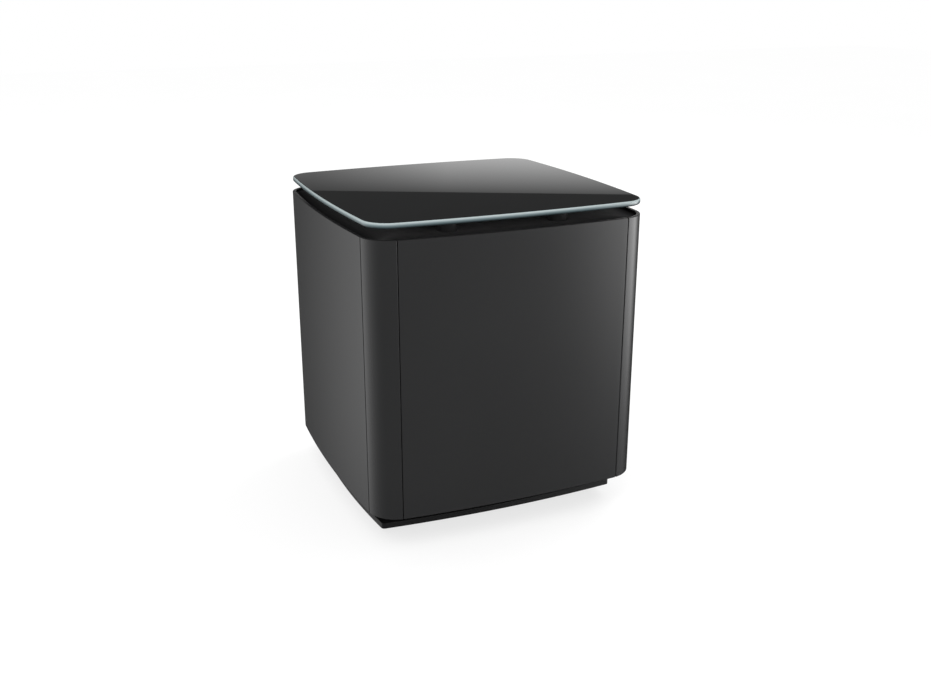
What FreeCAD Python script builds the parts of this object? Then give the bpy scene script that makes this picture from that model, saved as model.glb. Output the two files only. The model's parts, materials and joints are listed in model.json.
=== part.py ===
import FreeCAD, Part
import math
import os

import Sketcher
from FreeCAD import Placement, Rotation, Vector

# A free-standing powered subwoofer, in millimetres.
# +Z is up and the front faces -Y. The origin is on the floor, under the middle of the cabinet.

# ---------------------------------------------------------------- driving dimensions
DIMENSIONS = {
    # footprint of the cabinet: a square with bowed sides and round corners
    "cabinet_half": 149.6, "cabinet_bow": 8, "cabinet_corner": 31.3,
    # footprint of the glass top
    "glass_half": 147.5, "glass_bow": 7, "glass_corner": 25.5,
    # footprint of the recessed base plate
    "base_half_x": 135.8, "base_half_y": 118.8, "base_bow": 7.2, "base_corner": 3.6,
    # heights, from the floor up
    "foot_height": 11, "base_thick": 6, "firing_gap": 18.4, "skin_height": 276,
    "glass_gap": 10.3, "glass_thick": 5.3,
    # outer skins and the seams between them
    "skin_thick": 3.6, "glue_gap": 0.2, "seam_place": 118.3, "seam_width": 0.8,
    # wooden enclosure
    "wall_thick": 15, "baffle_thick": 16, "lid_thick": 12, "brace_thick": 12,
    "baffle_recess": 1, "brace_level": 165, "brace_hole": 84, "brace_corner": 100,
    "brace_corner_hole": 12, "cable_slot_half": 40, "cable_slot_near": 96, "cable_slot_far": 120,
    # damping sheets on the inner walls
    "foam_thick": 10, "foam_half": 95, "foam_rear": 85,
    # deck under the glass, and what carries the glass
    "deck_thick": 4, "deck_drop": 2.4,
    "carrier_thick": 2.4, "carrier_inset": 16, "tape_thick": 0.4,
    "standoff_x": 58, "standoff_y": 112, "standoff_radius": 10,
    # feet and base posts
    "foot_x": 100, "foot_y": 80, "foot_radius": 12, "post_x": 114, "post_y": 96, "post_radius": 8,
    # woofer, measured from its axis and from the rebate it sits in
    "frame_radius": 124, "frame_thick": 4, "rebate_depth": 5, "mouth_radius": 113,
    "bolt_circle": 120, "bolt_count": 8, "cone_radius": 90.5, "cone_depth": 40, "coil_radius": 25,
    "roll_radius": 9, "ledge_level": 58, "motor_level": 70, "plate_thick": 8, "plate_radius": 60,
    "magnet_radius": 68, "magnet_thick": 20, "pole_radius": 24, "gap_radius": 27.2,
    "cap_radius": 48, "cap_depth": 14,
    # port
    "port_radius": 35, "port_wall": 3, "port_flare": 15, "port_foot": 176, "port_joint": 196,
    # connector panel low on the rear side
    "panel_half": 62, "panel_low": 54, "panel_high": 102, "tray_border": 8, "tray_wall": 2.8,
    "tray_floor": 123, "tray_floor_thick": 3, "socket_level": 78,
    "inlet_x": -34, "jack_x": -4, "service_x": 14, "button_x": 31, "light_x": 44,
    "button_radius": 4.5, "button_travel": 0.5, "io_board_y": 109.6,
    # electronics in the upper rear of the enclosure
    "tray_low": 186, "tray_high": 284, "tray_half": 94, "tray_face": 116, "tray_plate": 2.5,
    "board_thick": 1.6, "board_gap": 7, "board_width": 82, "board_low": 191, "board_high": 279,
    "fin_pitch": 7, "fin_count": 9, "fin_thick": 2, "fin_depth": 20, "sink_height": 56, "sink_base": 4,
    # wires, and how tightly each kind is bent
    "cable_radius": 1.3, "cable_bend": 10, "lead_radius": 0.8, "lead_bend": 4,
    # screws and running gaps
    "screw_radius": 2, "head_radius": 4, "seat_radius": 4.2, "hole_slack": 0.05,
}

document = FreeCAD.newDocument("Subwoofer")
sheet = document.addObject("Spreadsheet::Sheet", "dims")
for row, (alias, number) in enumerate(DIMENSIONS.items(), start=1):
    sheet.set(f"A{row}", alias)
    sheet.set(f"B{row}", str(number))
    sheet.setAlias(f"B{row}", alias)
document.recompute()

nodes = []


class Size:
    """A length that carries its value together with its spreadsheet expression."""

    def __init__(self, value, text):
        self.value = float(value)
        self.text = text

    @staticmethod
    def of(item):
        if isinstance(item, Size):
            return item
        return Size(item, f"({float(item)})")

    def combine(self, other, value, sign):
        return Size(value, f"({self.text} {sign} {other.text})")

    def __add__(self, other):
        other = Size.of(other)
        return self.combine(other, self.value + other.value, "+")

    def __sub__(self, other):
        other = Size.of(other)
        return self.combine(other, self.value - other.value, "-")

    def __mul__(self, other):
        other = Size.of(other)
        return self.combine(other, self.value * other.value, "*")

    def __truediv__(self, other):
        other = Size.of(other)
        return self.combine(other, self.value / other.value, "/")

    def __radd__(self, other):
        return Size.of(other) + self

    def __rsub__(self, other):
        return Size.of(other) - self

    def __rmul__(self, other):
        return Size.of(other) * self

    def __neg__(self):
        return Size.of(0) - self


def dim(alias):
    """One driving dimension, read from the spreadsheet."""
    return Size(float(sheet.get(alias)), f"dims.{alias}")


class Outline:
    """A footprint with four bowed sides and four round corners, centred on the Z axis."""

    def __init__(self, half_x, half_y, bow, corner, inset=0):
        self.half_x = half_x
        self.half_y = half_y
        self.bow = bow
        self.corner = corner
        self.inset = Size.of(inset)

    def inside(self, amount):
        """The same footprint, moved in by an even amount all round, with no corner left sharp."""
        inset = self.inset + amount
        corner = self.corner
        if (corner - inset).value < 2:
            corner = inset + 2
        return Outline(self.half_x, self.half_y, self.bow, corner, inset)

    def side(self, half_along, half_out):
        """Radius of a side's arc before the inset, and how far its centre is from the middle."""
        radius = (half_along * half_along + self.bow * self.bow) / (2 * self.bow)
        return radius, radius - half_out

    def corner_centre(self):
        """Centre of the corner arc that touches both neighbouring sides."""
        end_radius, end_offset = self.side(self.half_x, self.half_y)
        flank_radius, flank_offset = self.side(self.half_y, self.half_x)
        end = Vector(0, -end_offset.value, 0)
        flank = Vector(-flank_offset.value, 0, 0)
        end_reach = (end_radius - self.corner).value
        flank_reach = (flank_radius - self.corner).value
        apart = flank.sub(end)
        along = (end_reach ** 2 - flank_reach ** 2 + apart.Length ** 2) / (2 * apart.Length)
        away = math.sqrt(end_reach ** 2 - along ** 2)
        direction = Vector(apart).normalize()
        return end + direction * along + Vector(direction.y, -direction.x, 0) * away


CABINET = Outline(dim("cabinet_half"), dim("cabinet_half"), dim("cabinet_bow"), dim("cabinet_corner"))
GLASS = Outline(dim("glass_half"), dim("glass_half"), dim("glass_bow"), dim("glass_corner"))
BASE = Outline(dim("base_half_x"), dim("base_half_y"), dim("base_bow"), dim("base_corner"))

base_bottom = dim("foot_height")
base_top = base_bottom + dim("base_thick")
cabinet_bottom = base_top + dim("firing_gap")
cabinet_top = cabinet_bottom + dim("skin_height")
glass_bottom = cabinet_top + dim("glass_gap")
shell_inset = dim("skin_thick") + dim("glue_gap")
room_inset = shell_inset + dim("wall_thick")
baffle_bottom = cabinet_bottom + dim("baffle_recess")
baffle_top = baffle_bottom + dim("baffle_thick")
deck_top = cabinet_top - dim("deck_drop")
deck_bottom = deck_top - dim("deck_thick")
lid_bottom = deck_bottom - dim("lid_thick")
carrier_top = glass_bottom - dim("tape_thick")
carrier_bottom = carrier_top - dim("carrier_thick")
woofer_level = baffle_bottom + dim("rebate_depth")
screw = dim("screw_radius")
screw_hole = screw + dim("hole_slack")


# ---------------------------------------------------------------- sketch helpers
def place_point(sketch, item, point, x, y):
    """Hold one sketch point at x, y from the sketch's origin."""
    for kind, axis, length in (("DistanceX", -2, Size.of(x)), ("DistanceY", -1, Size.of(y))):
        if abs(length.value) < 1e-9:
            sketch.addConstraint(Sketcher.Constraint("PointOnObject", item, point, axis))
            continue
        ends = (-1, 1, item, point)
        if length.value < 0:
            ends = (item, point, -1, 1)
            length = -length
        index = sketch.addConstraint(Sketcher.Constraint(kind, *ends, length.value))
        sketch.setExpression(f"Constraints[{index}]", length.text)


def add_circle(sketch, radius, x=0, y=0):
    radius, x, y = Size.of(radius), Size.of(x), Size.of(y)
    circle = Part.Circle(Vector(x.value, y.value, 0), Vector(0, 0, 1), radius.value)
    item = sketch.addGeometry(circle)
    place_point(sketch, item, 3, x, y)
    index = sketch.addConstraint(Sketcher.Constraint("Radius", item, radius.value))
    sketch.setExpression(f"Constraints[{index}]", radius.text)


def add_polygon(sketch, points):
    """A closed polygon whose corners are given as x, y pairs."""
    corners = [(Size.of(x), Size.of(y)) for x, y in points]
    items = []
    for index, (x, y) in enumerate(corners):
        next_x, next_y = corners[(index + 1) % len(corners)]
        line = Part.LineSegment(Vector(x.value, y.value, 0), Vector(next_x.value, next_y.value, 0))
        items.append(sketch.addGeometry(line))
    for index, (x, y) in enumerate(corners):
        sketch.addConstraint(Sketcher.Constraint("Coincident", items[index - 1], 2, items[index], 1))
        place_point(sketch, items[index], 1, x, y)


def add_rectangle(sketch, low_x, low_y, high_x, high_y):
    add_polygon(sketch, [(low_x, low_y), (high_x, low_y), (high_x, high_y), (low_x, high_y)])


def add_arc(sketch, centre, radius, start, end):
    """An arc, with start and end as angles, held to a radius bound to the sheet."""
    circle = Part.Circle(centre, Vector(0, 0, 1), radius.value)
    item = sketch.addGeometry(Part.ArcOfCircle(circle, start, end))
    index = sketch.addConstraint(Sketcher.Constraint("Radius", item, radius.value))
    sketch.setExpression(f"Constraints[{index}]", radius.text)
    return item


def add_outline(sketch, outline):
    """Eight tangent arcs: right side, its corner, rear side, and so on round."""
    corner = outline.corner_centre()
    corner_radius = outline.corner - outline.inset
    arcs = []
    for quarter in range(4):
        flank = quarter % 2 == 0
        halves = (outline.half_y, outline.half_x) if flank else (outline.half_x, outline.half_y)
        radius, offset = outline.side(*halves)
        facing = quarter * math.pi / 2
        outward = Vector(math.cos(facing), math.sin(facing), 0)
        side_centre = outward * -offset.value
        half_angle = math.atan2(corner.y if flank else corner.x,
                                (corner.x if flank else corner.y) + offset.value)
        side = add_arc(sketch, side_centre, radius - outline.inset,
                       facing - half_angle, facing + half_angle)
        place_point(sketch, side, 3, -offset * round(outward.x), -offset * round(outward.y))
        turn_x = 1 if quarter in (0, 3) else -1
        turn_y = 1 if quarter in (0, 1) else -1
        turn_centre = Vector(corner.x * turn_x, corner.y * turn_y, 0)
        next_side = halves[::-1]
        next_radius, next_offset = outline.side(*next_side)
        next_half = math.atan2(corner.x if flank else corner.y,
                               (corner.y if flank else corner.x) + next_offset.value)
        turn = add_arc(sketch, turn_centre, corner_radius,
                       facing + half_angle, facing + math.pi / 2 - next_half)
        arcs += [side, turn]
    for index, item in enumerate(arcs):
        follower = arcs[(index + 1) % len(arcs)]
        sketch.addConstraint(Sketcher.Constraint("Tangent", item, 2, follower, 1))


# ---------------------------------------------------------------- solid helpers
def node(item, name):
    """Name a finished piece and put it on the list of pieces to write."""
    item.Label = name
    nodes.append(item)


def new_body(name):
    return document.addObject("PartDesign::Body", f"{name}_body")


def new_sketch(body, role="XY_Plane", level=0, across=0, up=0):
    """A sketch on one of the body's origin planes, moved along and across it."""
    sketch = body.newObject("Sketcher::SketchObject", "Sketch")
    origin_plane = next(item for item in body.Origin.OriginFeatures if item.Role == role)
    sketch.AttachmentSupport = [(origin_plane, "")]
    sketch.MapMode = "FlatFace"
    for axis, amount in (("x", across), ("y", up), ("z", level)):
        sketch.setExpression(f"AttachmentOffset.Base.{axis}", Size.of(amount).text)
    return sketch


def pad(body, sketch, length, both_ways=False):
    feature = body.newObject("PartDesign::Pad", "Pad")
    feature.Profile = sketch
    feature.setExpression("Length", Size.of(length).text)
    feature.SideType = "Symmetric" if both_ways else "One side"
    body.Tip = feature
    return feature


def pocket(body, sketch, length, upward=True, both_ways=False):
    """Cut a sketch into the body, and stop if it takes nothing away."""
    document.recompute()
    before = body.Shape.Volume
    feature = body.newObject("PartDesign::Pocket", "Pocket")
    feature.Profile = sketch
    feature.setExpression("Length", Size.of(length).text)
    feature.Reversed = upward
    feature.SideType = "Symmetric" if both_ways else "One side"
    body.Tip = feature
    document.recompute()
    if body.Shape.Volume > before - 0.01:
        raise ValueError(f"a pocket cuts nothing from {body.Name}")
    return feature


def turn(body, points, across=0, away=0):
    """Revolve a closed profile of radius, height pairs about an upright axis."""
    sketch = new_sketch(body, "XZ_Plane", level=-Size.of(away), across=across)
    add_polygon(sketch, points)
    feature = body.newObject("PartDesign::Revolution", "Revolution")
    feature.Profile = sketch
    feature.ReferenceAxis = (sketch, ["V_Axis"])
    feature.Angle = 360
    body.Tip = feature
    return feature


def around(body, feature, count):
    """Repeat a feature evenly round the Z axis."""
    pattern = body.newObject("PartDesign::PolarPattern", "Around")
    pattern.Originals = [feature]
    z_axis = next(item for item in body.Origin.OriginFeatures if item.Role == "Z_Axis")
    pattern.Axis = (z_axis, [""])
    pattern.Angle = 360
    pattern.setExpression("Occurrences", Size.of(count).text)
    body.Tip = pattern


def prism(name, outline, low, high, inner=None):
    """An upright plate or ring that follows an outline."""
    body = new_body(name)
    sketch = new_sketch(body, level=low)
    add_outline(sketch, outline)
    if inner is not None:
        add_outline(sketch, inner)
    pad(body, sketch, high - low)
    return body


def lift(item, height):
    item.setExpression("Placement.Base.z", Size.of(height).text)


def move(item, x, y, z):
    for axis, amount in (("x", x), ("y", y), ("z", z)):
        item.setExpression(f"Placement.Base.{axis}", Size.of(amount).text)


def box(name, x, y, z):
    """A block, with each side given as a low, high pair."""
    block = document.addObject("Part::Box", f"{name}_block")
    for size_name, (low, high) in zip(("Length", "Width", "Height"), (x, y, z)):
        block.setExpression(size_name, (Size.of(high) - low).text)
    move(block, x[0], y[0], z[0])
    return block


def rod(name, radius, start, length, facing_rear=False):
    """A cylinder that stands up, or points to the rear."""
    cylinder = document.addObject("Part::Cylinder", f"{name}_rod")
    cylinder.setExpression("Radius", Size.of(radius).text)
    cylinder.setExpression("Height", Size.of(length).text)
    if facing_rear:
        cylinder.Placement = Placement(Vector(), Rotation(Vector(1, 0, 0), -90))
    move(cylinder, *start)
    return cylinder


def joined(name, items):
    result = document.addObject("Part::MultiFuse", f"{name}_joined")
    result.Shapes = items
    return result


def common(name, items):
    result = document.addObject("Part::MultiCommon", f"{name}_common")
    result.Shapes = items
    return result


def cut(name, item, tools):
    result = document.addObject("Part::Cut", f"{name}_cut")
    result.Base = item
    result.Tool = tools[0] if len(tools) == 1 else joined(f"{name}_tools", tools)
    return result


def group(name, items):
    """Separate solids that share one node."""
    result = document.addObject("Part::Compound", f"{name}_group")
    result.Links = items
    return result


def mirrored(name, item, normal):
    result = document.addObject("Part::Mirroring", f"{name}_mirror")
    result.Source = item
    result.Normal = normal
    return result


def four_corners(name, item):
    """The item and its mirror images in the two upright middle planes."""
    across = mirrored(name, item, Vector(1, 0, 0))
    pair = group(f"{name}_pair", [item, across])
    behind = mirrored(f"{name}_rear", pair, Vector(0, 1, 0))
    return group(name, [pair, behind])


def corner_places(x, y):
    return [(side_x * x, side_y * y) for side_x in (-1, 1) for side_y in (-1, 1)]


def span(centre, half):
    """A low, high pair about a centre."""
    centre, half = Size.of(centre), Size.of(half)
    return centre - half, centre + half


# ---------------------------------------------------------------- glass top and deck
def build_glass():
    top = glass_bottom + dim("glass_thick")
    plate = prism("glass", GLASS, glass_bottom, top)
    document.recompute()
    slab = plate.Tip
    rims = [f"Edge{index}" for index, edge in enumerate(slab.Shape.Edges, start=1)
            if abs(edge.Vertexes[0].Z - edge.Vertexes[-1].Z) < 1e-6]
    polish = plate.newObject("PartDesign::Fillet", "PolishedRim")
    polish.Base = (slab, rims)
    polish.Radius = 1.2
    plate.Tip = polish
    node(plate, "glass_top")

    carrier_edge = GLASS.inside(dim("carrier_inset"))
    tape = prism("tape", carrier_edge, carrier_top, glass_bottom, carrier_edge.inside(12))
    node(tape, "glass_tape")

    carrier = prism("carrier", carrier_edge, carrier_bottom, carrier_top)
    head = new_sketch(carrier, level=carrier_bottom + 0.6)
    hole = new_sketch(carrier, level=carrier_bottom)
    for x, y in corner_places(dim("standoff_x"), dim("standoff_y")):
        add_circle(head, dim("seat_radius"), x, y)
        add_circle(hole, screw_hole, x, y)
    pocket(carrier, head, dim("carrier_thick"))
    pocket(carrier, hole, dim("carrier_thick"))
    node(carrier, "glass_carrier")

    standoffs = new_body("standoffs")
    sketch = new_sketch(standoffs, level=deck_top)
    for x, y in corner_places(dim("standoff_x"), dim("standoff_y")):
        add_circle(sketch, dim("standoff_radius"), x, y)
        add_circle(sketch, screw_hole, x, y)
    pad(standoffs, sketch, carrier_bottom - deck_top)
    node(standoffs, "glass_standoffs")

    bolt = new_body("carrier_screw")
    head_low = carrier_bottom + 0.6
    head_high = carrier_top - 0.2
    tip = lid_bottom + 4
    rim = dim("head_radius")
    turn(bolt, [(0, tip), (screw, tip), (screw, head_low), (rim, head_low), (rim, head_high),
                (0, head_high)], -dim("standoff_x"), -dim("standoff_y"))
    node(four_corners("carrier_screws", bolt), "carrier_screws")


def build_deck():
    """The black plate under the glass, set a little below the top ends of the skins."""
    deck = prism("deck", CABINET.inside(shell_inset), deck_bottom, deck_top)
    mouth = new_sketch(deck, level=deck_bottom)
    add_circle(mouth, dim("port_radius") + dim("port_flare") + 2.6)
    for x, y in corner_places(dim("standoff_x"), dim("standoff_y")):
        add_circle(mouth, screw_hole, x, y)
    pocket(deck, mouth, dim("deck_thick"))
    node(deck, "top_deck")


# ---------------------------------------------------------------- outer skins
def build_skins():
    """Four bowed side panels and four round corner trims, with a fine seam between each two."""
    ring = prism("skin", CABINET, cabinet_bottom, cabinet_top, CABINET.inside(dim("skin_thick")))
    height = (cabinet_bottom, cabinet_top)
    near = dim("seam_place") - dim("seam_width") / 2
    far = dim("seam_place") + dim("seam_width") / 2
    outside = dim("cabinet_half") + 5
    middle = (-near, near)
    low = (-outside, -far)
    high = (far, outside)
    places = {
        "front_panel": (middle, low), "left_panel": (low, middle), "right_panel": (high, middle),
        "corner_front_left": (low, low), "corner_front_right": (high, low),
        "corner_rear_left": (low, high), "corner_rear_right": (high, high),
    }
    for name, (x, y) in places.items():
        node(common(name, [ring, box(name, x, y, height)]), name)
    rear = common("rear_panel", [ring, box("rear_panel", middle, high, height)])
    window = box("rear_window", span(0, dim("panel_half") + 0.4), (0, outside),
                 (dim("panel_low") - 0.4, dim("panel_high") + 0.4))
    node(cut("rear_panel", rear, [window]), "rear_panel")


# ---------------------------------------------------------------- wooden enclosure
def build_enclosure():
    outer = CABINET.inside(shell_inset)
    room = CABINET.inside(room_inset)
    walls = prism("walls", outer, baffle_top, lid_bottom, room)
    opening = box("rear_opening", span(0, dim("panel_half") - 5), (0, dim("cabinet_half")),
                  (dim("panel_low") + 4, dim("panel_high") - 4))
    pilots = [rod("pilot", 1.3, (x, room_depth(), z), 30, True) for x, z in panel_screw_places()]
    node(cut("walls", walls, [opening] + pilots), "cabinet_walls")

    baffle = prism("baffle", outer, baffle_bottom, baffle_top)
    rebate = new_sketch(baffle, level=baffle_bottom)
    add_circle(rebate, dim("frame_radius") + 0.4)
    pocket(baffle, rebate, dim("rebate_depth"))
    holes = new_sketch(baffle, level=baffle_bottom)
    add_circle(holes, dim("mouth_radius") + 2)
    for x, y in corner_places(dim("post_x"), dim("post_y")):
        add_circle(holes, screw_hole, x, y)
    pocket(baffle, holes, dim("baffle_thick"))
    bolt_hole = new_sketch(baffle, level=baffle_bottom)
    add_circle(bolt_hole, screw_hole, dim("bolt_circle"))
    first = pocket(baffle, bolt_hole, dim("baffle_thick"))
    around(baffle, first, dim("bolt_count"))
    node(baffle, "woofer_baffle")

    lid = prism("lid", outer, lid_bottom, deck_bottom)
    holes = new_sketch(lid, level=lid_bottom)
    add_circle(holes, dim("port_radius") + dim("port_wall") + 0.2)
    for x, y in corner_places(dim("standoff_x"), dim("standoff_y")):
        add_circle(holes, screw_hole, x, y)
    pocket(lid, holes, dim("lid_thick"))
    flare_room = new_sketch(lid, level=lid_bottom + 1)
    add_circle(flare_room, dim("port_radius") + dim("port_flare") + 3)
    pocket(lid, flare_room, dim("lid_thick"))
    node(lid, "cabinet_lid")

    brace_low = dim("brace_level")
    brace = prism("brace", room.inside(0.1), brace_low, brace_low + dim("brace_thick"))
    window = new_sketch(brace, level=brace_low)
    add_circle(window, dim("brace_hole"))
    for x, y in corner_places(dim("brace_corner"), dim("brace_corner")):
        add_circle(window, dim("brace_corner_hole"), x, y)
    slot_half = dim("cable_slot_half")
    add_rectangle(window, -slot_half, dim("cable_slot_near"), slot_half, dim("cable_slot_far"))
    pocket(brace, window, dim("brace_thick"))
    node(brace, "cabinet_brace")

    build_foam(room)


def room_depth():
    """How far back the inner face of the rear wall is at the middle."""
    return dim("cabinet_half") - room_inset


def build_foam(room):
    """Damping sheets on the front, left and right walls, above and below the brace."""
    lining = prism("lining", room.inside(0.2), baffle_top + 4, lid_bottom - 4,
                   room.inside(dim("foam_thick")))
    levels = [(baffle_top + 6, dim("brace_level") - 4),
              (dim("brace_level") + dim("brace_thick") + 4, lid_bottom - 6)]
    reach, half = dim("cabinet_half"), dim("foam_half")
    along = (-half, dim("foam_rear"))
    places = [((-half, half), (-reach, 0)), ((-reach, 0), along), ((0, reach), along)]
    sheets = []
    for low, high in levels:
        for x, y in places:
            sheets.append(common("foam", [lining, box("foam", x, y, (low, high))]))
    node(group("foam", sheets), "damping_foam")


# ---------------------------------------------------------------- base, posts and feet
def build_base():
    plate = prism("base", BASE, base_bottom, base_top)
    holes = new_sketch(plate, level=base_bottom)
    for x, y in corner_places(dim("post_x"), dim("post_y")) + corner_places(dim("foot_x"), dim("foot_y")):
        add_circle(holes, screw_hole, x, y)
    pocket(plate, holes, dim("base_thick"))
    seats = new_sketch(plate, level=base_bottom)
    for x, y in corner_places(dim("post_x"), dim("post_y")):
        add_circle(seats, dim("seat_radius"), x, y)
    pocket(plate, seats, dim("base_thick") / 2)
    node(plate, "base_plate")

    posts = new_body("posts")
    sketch = new_sketch(posts, level=base_top)
    for x, y in corner_places(dim("post_x"), dim("post_y")):
        add_circle(sketch, dim("post_radius"), x, y)
        add_circle(sketch, screw_hole, x, y)
    pad(posts, sketch, baffle_bottom - base_top)
    node(posts, "base_posts")

    bolt = new_body("base_screw")
    head, seat, tip = base_bottom + 0.3, base_bottom + dim("base_thick") / 2, baffle_top - 3
    rim = dim("head_radius")
    turn(bolt, [(0, head), (rim, head), (rim, seat), (screw, seat), (screw, tip), (0, tip)],
         -dim("post_x"), -dim("post_y"))
    node(four_corners("base_screws", bolt), "base_screws")

    build_feet()


def build_feet():
    """Four soft feet, each held by a screw sunk in its middle."""
    radius, height = dim("foot_radius"), dim("foot_height")
    foot = new_body("foot")
    turn(foot, [(screw_hole, 4), (5, 4), (5, 0), (radius - 2, 0), (radius - 1, 1), (radius, height),
                (screw_hole, height)], -dim("foot_x"), -dim("foot_y"))
    node(four_corners("feet", foot), "rubber_feet")
    bolt = new_body("foot_screw")
    tip = base_top - 0.5
    turn(bolt, [(0, 1.6), (3.9, 1.6), (3.9, 4), (screw, 4), (screw, tip), (0, tip)],
         -dim("foot_x"), -dim("foot_y"))
    node(four_corners("foot_screws", bolt), "foot_screws")


# ---------------------------------------------------------------- woofer
def woofer_piece(name, points):
    """A turned woofer part, drawn from the rebate floor with its height pointing into the cabinet."""
    body = new_body(name)
    turn(body, points)
    lift(body, woofer_level)
    node(body, name)


def ring_profile(inner, outer, low, high):
    return [(inner, low), (outer, low), (outer, high), (inner, high)]


def build_basket():
    frame, thick = dim("frame_radius"), dim("frame_thick")
    ledge, motor = dim("ledge_level"), dim("motor_level")
    basket = new_body("woofer_basket")
    wall_foot, wall_top = dim("mouth_radius"), dim("plate_radius") + 10
    turn(basket, [
        (frame - 16, -thick), (frame, -thick), (frame, 0), (wall_foot, 0), (wall_top, ledge),
        (wall_top, motor), (46, motor), (46, motor - 2.5), (wall_top - 3, motor - 2.5),
        (wall_top - 3, ledge + 2), (wall_top - 12, ledge + 2), (wall_top - 12, ledge),
        (wall_top - 3.5, ledge), (frame - 16, 3.5)])
    window = new_sketch(basket, "XZ_Plane")
    add_rectangle(window, wall_top + 4, 8, frame - 4, ledge - 8)
    first = pocket(basket, window, 60, both_ways=True)
    around(basket, first, 6)
    bolt_hole = new_sketch(basket, level=-thick)
    add_circle(bolt_hole, screw_hole, dim("bolt_circle"))
    hole = pocket(basket, bolt_hole, thick)
    around(basket, hole, dim("bolt_count"))
    lift(basket, woofer_level)
    node(basket, "woofer_basket")


def build_motor():
    motor, plate = dim("motor_level"), dim("plate_thick")
    magnet_top = motor + plate + dim("magnet_thick")
    vent = 8
    woofer_piece("woofer_top_plate",
                 ring_profile(dim("gap_radius"), dim("plate_radius"), motor, motor + plate))
    woofer_piece("woofer_magnet", ring_profile(34, dim("magnet_radius"), motor + plate, magnet_top))
    woofer_piece("woofer_yoke", [
        (vent, motor - 1), (dim("pole_radius"), motor - 1), (dim("pole_radius"), magnet_top),
        (dim("plate_radius"), magnet_top), (dim("plate_radius"), magnet_top + plate - 2),
        (dim("plate_radius") - 2, magnet_top + plate), (vent, magnet_top + plate)])


def build_moving_parts():
    coil, rim, lip = dim("coil_radius"), dim("cone_radius"), -dim("frame_thick")
    neck = dim("cone_depth")
    motor = dim("motor_level")
    outside = coil + 0.35
    woofer_piece("voice_coil_former", ring_profile(coil, outside, neck - 6, motor + 16))
    woofer_piece("voice_coil_winding", ring_profile(outside, coil + 1.3, motor - 8, motor + 16))
    woofer_piece("woofer_cone", [
        (rim, lip), (rim, lip + 1.1), (rim - 4, lip + 1.1), (outside + 1.4, neck), (outside, neck),
        (outside, neck - 2.5), (rim - 4.5, lip)])
    build_dust_cap(outside, rim, neck, lip)


def build_dust_cap(outside, rim, neck, lip):
    """A shallow dome that bulges towards the floor from the cone's middle."""
    edge = dim("cap_radius")
    share = (edge - outside) / (rim - 4.5 - outside)
    seat = (neck - 2.5) - share * (neck - 2.5 - lip) - 0.3
    steps = 8
    depth, skin = dim("cap_depth"), 1.0
    lower = [(edge * index / steps, seat - depth * (1 - (index / steps) ** 2) - skin)
             for index in range(steps + 1)]
    upper = [(radius, height + skin) for radius, height in reversed(lower)]
    woofer_piece("woofer_dust_cap", lower + upper)


def build_suspension():
    """The half-roll surround, its gasket, and the corrugated spider."""
    rim, lip, roll = dim("cone_radius"), -dim("frame_thick"), dim("roll_radius")
    skin = 0.8
    centre = rim - 0.5 + roll
    steps = 12
    arc = [(math.cos(math.pi * index / steps), math.sin(math.pi * index / steps))
           for index in range(steps + 1)]
    outer = [(centre - roll * along, lip - skin - roll * down) for along, down in arc]
    inner = [(centre + (roll - skin) * along, lip - (roll - skin) * down) for along, down in arc[1:-1]]
    woofer_piece("woofer_surround", [(rim - 4.5, lip), (rim - 4.5, lip - skin)] + outer
                 + [(centre + roll + 8, lip - skin), (centre + roll + 8, lip),
                    (centre + roll - skin, lip)] + inner + [(centre - roll + skin, lip)])
    woofer_piece("woofer_gasket", ring_profile(centre + roll + 0.6, centre + roll + 8,
                                               lip - skin - 2.5, lip - skin))

    inside, outside = dim("coil_radius") + 0.4, dim("plate_radius") + 5.5
    level, ripple, waves = dim("ledge_level") - 0.6, 1.8, 7
    ripples = []
    for index in range(waves * 2 - 1):
        place = (outside - 8 - inside - 3) * ((index + 0.5) / (waves * 2 - 1)) + inside + 3
        ripples.append((place, level + ripple * (-1 if index % 2 == 0 else 0)))
    under = [(inside, level)] + [(inside + 2, level)] + ripples + [(outside - 7, level), (outside, level)]
    over = [(radius, height + 0.6) for radius, height in reversed(under)]
    woofer_piece("woofer_spider", under + over)


def build_woofer_fittings():
    bolt = new_body("woofer_screw")
    under = -dim("frame_thick")
    profile = [(0, under - 2.4), (2.8, under - 2.4), (3.6, under), (screw, under), (screw, 9), (0, 9)]
    feature = turn(bolt, profile, dim("bolt_circle"))
    around(bolt, feature, dim("bolt_count"))
    lift(bolt, woofer_level)
    node(bolt, "woofer_screws")

    slope = (dim("mouth_radius") - dim("plate_radius") - 10) / dim("ledge_level")
    low, high = 22, 36
    near_low = dim("mouth_radius") - slope * low + 0.1
    near_high = dim("mouth_radius") - slope * high + 0.1
    block = new_body("woofer_terminal")
    side = new_sketch(block, "YZ_Plane")
    add_polygon(side, [(near_low, low), (near_low + 7, low), (near_low + 7, high), (near_high, high)])
    pad(block, side, 20, both_ways=True)
    lift(block, woofer_level)
    node(block, "woofer_terminal")


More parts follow.
